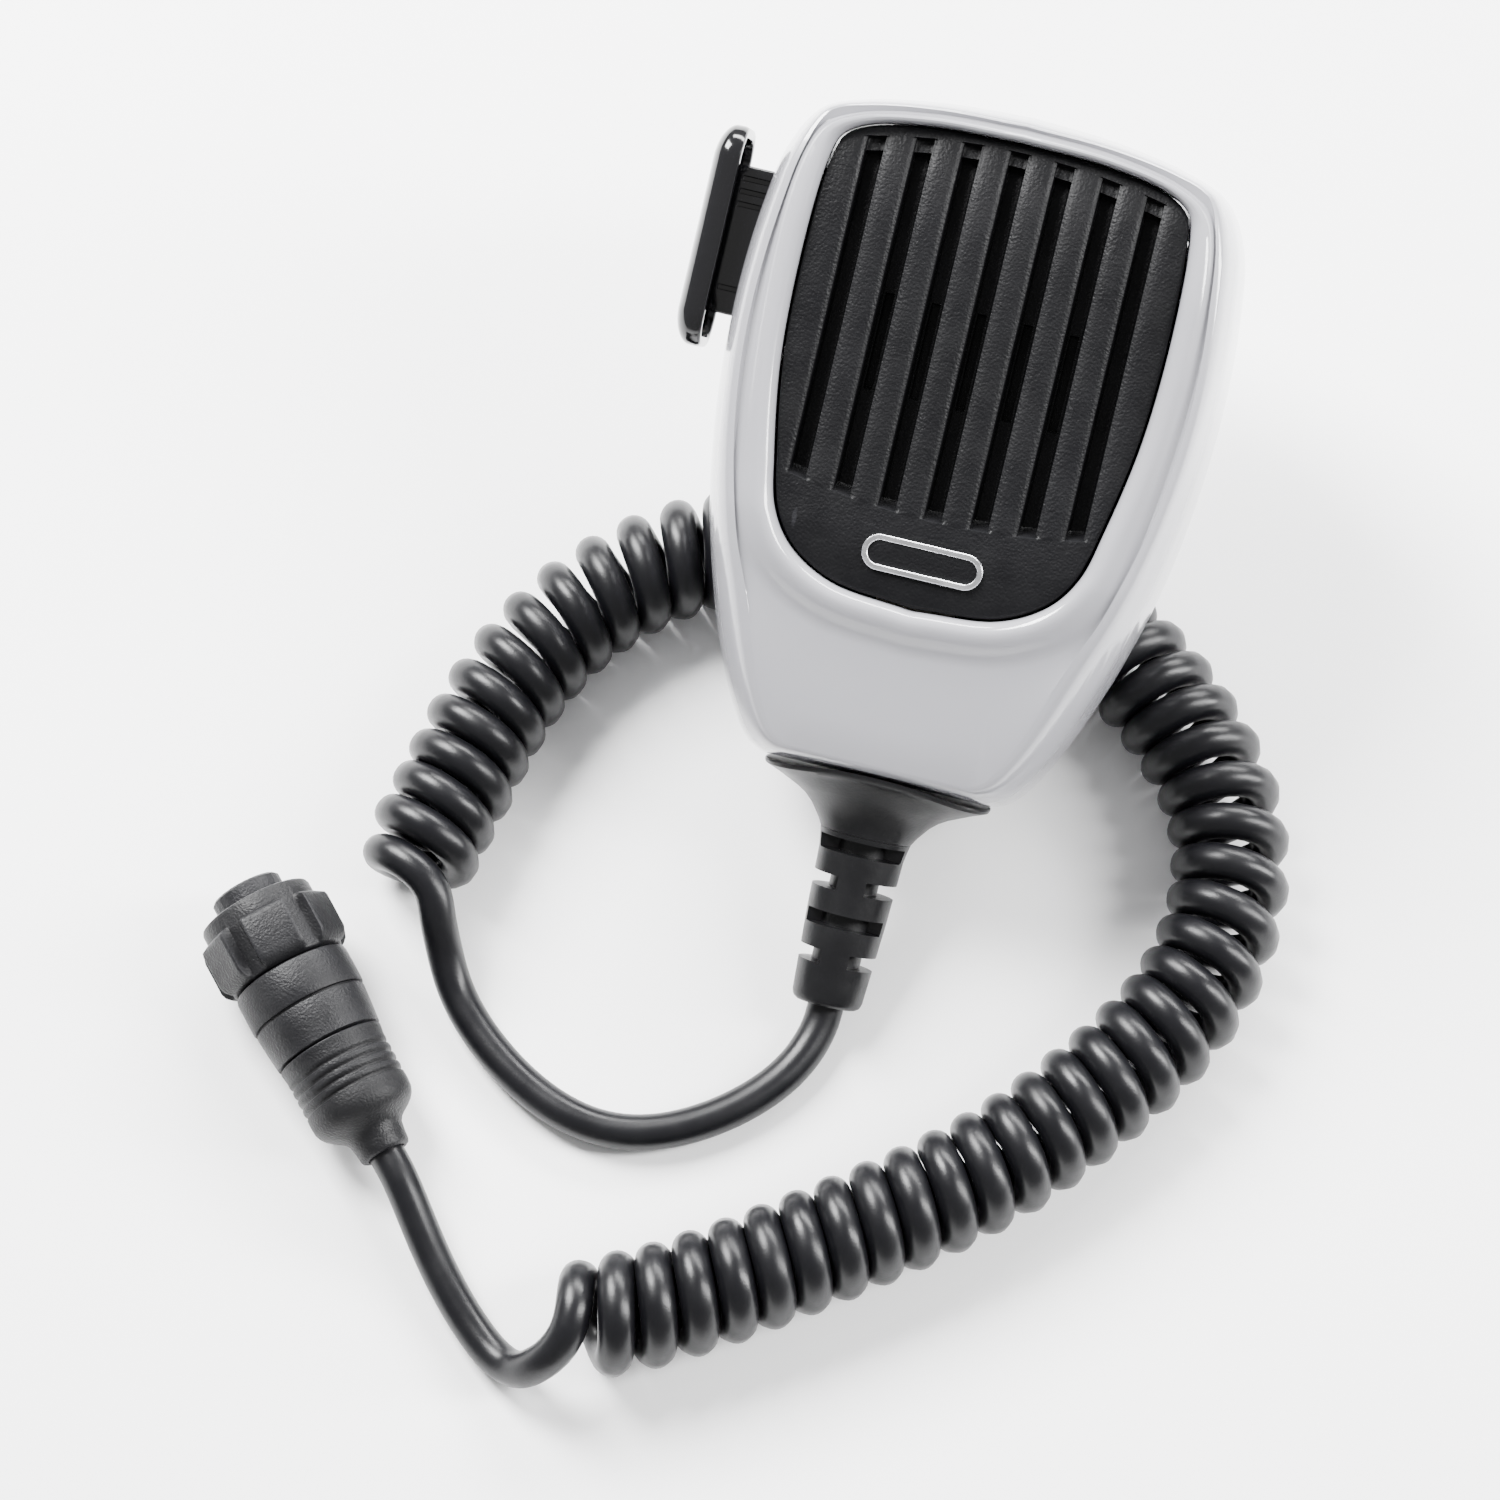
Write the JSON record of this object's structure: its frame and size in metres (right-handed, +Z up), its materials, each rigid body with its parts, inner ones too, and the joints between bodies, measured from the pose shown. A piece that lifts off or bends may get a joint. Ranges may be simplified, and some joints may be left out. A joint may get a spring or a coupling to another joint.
{
  "type": "hand microphone",
  "caption": "Hand-held two-way radio microphone with a push-to-talk paddle on its side, a curly cord and a round locking plug.",
  "frame": {"origin": "under the middle of the microphone, on the surface that it lies on", "axes": "+Z up, away from that surface; +Y from the microphone's cable end towards its top end; the paddle is on the -X side; the microphone slopes 24 degrees up towards +Y, face up"},
  "size_m": [0.1303, 0.1649, 0.0637],
  "materials": {
    "case": "glossy light grey moulded plastic",
    "grille": "black moulded plastic with a leather grain",
    "paddle": "glossy black",
    "silver": "bright satin metal",
    "steel": "plated steel",
    "brass": "plated contacts",
    "rubber": "satin black rubber",
    "cord": "satin black cable jacket",
    "plug": "matte black moulded plastic",
    "board": "green solder mask",
    "cloth": "black felt",
    "nylon": "natural nylon"
  },
  "bodies": {
    "microphone": {"board_screw_1": "steel", "board_screw_2": "steel", "case_screw_1": "steel", "case_screw_2": "steel", "case_screw_3": "steel", "case_screw_4": "steel", "circuit_board": "board", "clamp_screw_1": "steel", "clamp_screw_2": "steel", "cord_clamp": "steel", "cord_coil": "cord", "cord_lead_mic": "cord", "cord_lead_plug": "cord", "cord_tail": "cord", "front_shell": "case", "grille_badge": "silver", "grille_cloth": "cloth", "grille_panel": "grille", "hanger_button": "steel", "hanger_screw": "steel", "mic_element": "silver", "mic_element_holder": "rubber", "plug_boot": "plug", "plug_insert": "plug", "plug_pin_1": "brass", "plug_pin_2": "brass", "plug_pin_3": "brass", "plug_pin_4": "brass", "plug_pin_5": "brass", "plug_pin_6": "brass", "plug_pin_7": "brass", "plug_pin_8": "brass", "plug_shell": "plug", "ptt_seal": "rubber", "ptt_spring_1": "steel", "ptt_spring_2": "steel", "ptt_switch": "plug", "rear_cover": "case", "strain_relief": "rubber", "wire_connector": "nylon"},
    "ptt_paddle": {"ptt_paddle": "paddle"},
    "switch_plunger": {"ptt_switch_plunger": "nylon"},
    "coupling_ring": {"coupling_ring": "plug"}
  },
  "joints": [
    {"name": "ptt_travel", "type": "slide", "parent": "microphone", "child": "ptt_paddle", "axis": [1, 0, 0], "range_m": [0, 0.0018], "stiffness_N_per_m": 1200, "springref_m": -0.0015, "deforming": ["ptt_spring_1", "ptt_spring_2"]},
    {"name": "plunger_travel", "type": "slide", "parent": "microphone", "child": "switch_plunger", "axis": [1, 0, 0], "range_m": [0, 0.0018]},
    {"name": "ring_turn", "type": "hinge", "parent": "microphone", "child": "coupling_ring", "pos_m": [-0.065, -0.06434, 0.00868], "axis": [-0.6835, 0.7253, 0.0819], "continuous": true}
  ],
  "couplings": [
    {"joint": "plunger_travel", "follows": "ptt_travel", "ratio": 1}
  ]
}
